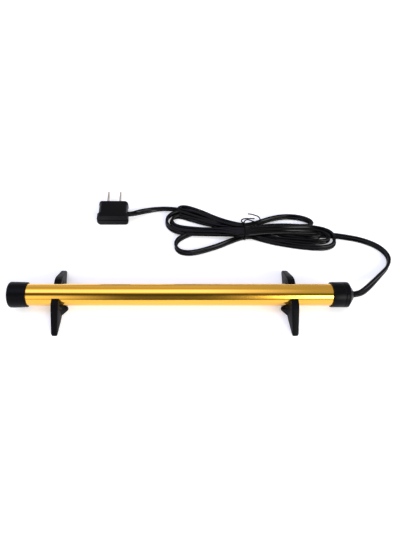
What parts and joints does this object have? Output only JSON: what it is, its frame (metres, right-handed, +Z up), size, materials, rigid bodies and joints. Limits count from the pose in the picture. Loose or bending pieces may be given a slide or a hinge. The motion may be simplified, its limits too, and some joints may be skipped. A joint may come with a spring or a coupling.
{
  "type": "cabinet heating rod with stand",
  "caption": "Slim gold metal heating rod with black end caps, lying in two plastic foot brackets, with a flat cord tied in a hank and a snap-together mains plug.",
  "frame": {"origin": "on the resting surface, under the middle of the rod", "axes": "+X along the rod towards its cord end, +Y across the rod towards the cord's hank and plug, +Z up"},
  "size_m": [0.3609, 0.1675, 0.0254],
  "materials": {
    "anodised_gold": "satin",
    "cap_black": "satin",
    "bracket_black": "satin",
    "cord_black": "gloss",
    "plug_black": "satin",
    "blade_metal": "satin",
    "tie_black": "satin",
    "silicone_red": "matt",
    "resistance_wire": "satin",
    "glass_fibre": "matt",
    "ceramic_white": "matt",
    "crimp_metal": "satin",
    "copper": "satin",
    "core_insulation": "satin"
  },
  "bodies": {
    "root": {"heater_tube": "anodised_gold", "blind_end_cap": "cap_black", "cord_end_cap": "cap_black", "left_end_plug": "ceramic_white", "right_end_plug": "ceramic_white", "tube_liner": "glass_fibre", "heating_wire": "resistance_wire", "wire_jacket": "silicone_red", "left_spacer": "ceramic_white", "middle_spacer": "ceramic_white", "right_spacer": "ceramic_white", "fuse_crimp": "crimp_metal", "fuse_crimp_sleeve": "glass_fibre", "thermal_fuse": "crimp_metal", "fuse_sleeve": "glass_fibre", "live_crimp": "crimp_metal", "live_crimp_sleeve": "glass_fibre", "neutral_crimp": "crimp_metal", "neutral_crimp_sleeve": "glass_fibre", "live_conductor": "copper", "neutral_conductor": "copper", "live_core": "core_insulation", "neutral_core": "core_insulation", "cord_end": "cord_black", "cord_clamp": "crimp_metal", "power_cord": "cord_black", "cord_hank": "cord_black", "plug_lead": "cord_black", "wire_tie": "tie_black", "plug_shell": "plug_black", "plug_cord_end": "cord_black"},
    "left_bracket": {"left_bracket": "bracket_black"},
    "right_bracket": {"right_bracket": "bracket_black"},
    "plug_core": {"plug_core": "plug_black"},
    "live_blade": {"live_blade": "blade_metal"},
    "neutral_blade": {"neutral_blade": "blade_metal"}
  },
  "joints": [
    {"name": "left_bracket_slide", "type": "slide", "parent": "root", "child": "left_bracket", "axis": [1, 0, 0], "range_m": [-0.02, 0.095]},
    {"name": "right_bracket_slide", "type": "slide", "parent": "root", "child": "right_bracket", "axis": [1, 0, 0], "range_m": [-0.095, 0.026]},
    {"name": "plug_core_slide", "type": "slide", "parent": "root", "child": "plug_core", "axis": [0, 1, 0], "range_m": [0, 0.02]},
    {"name": "live_blade_spread", "type": "hinge", "parent": "plug_core", "child": "live_blade", "pos_m": [-0.06235, 0.1106, 0.007], "axis": [0, 0, -1], "range_deg": [0, 15]},
    {"name": "neutral_blade_spread", "type": "hinge", "parent": "plug_core", "child": "neutral_blade", "pos_m": [-0.07505, 0.1106, 0.007], "axis": [0, 0, 1], "range_deg": [0, 15]}
  ]
}
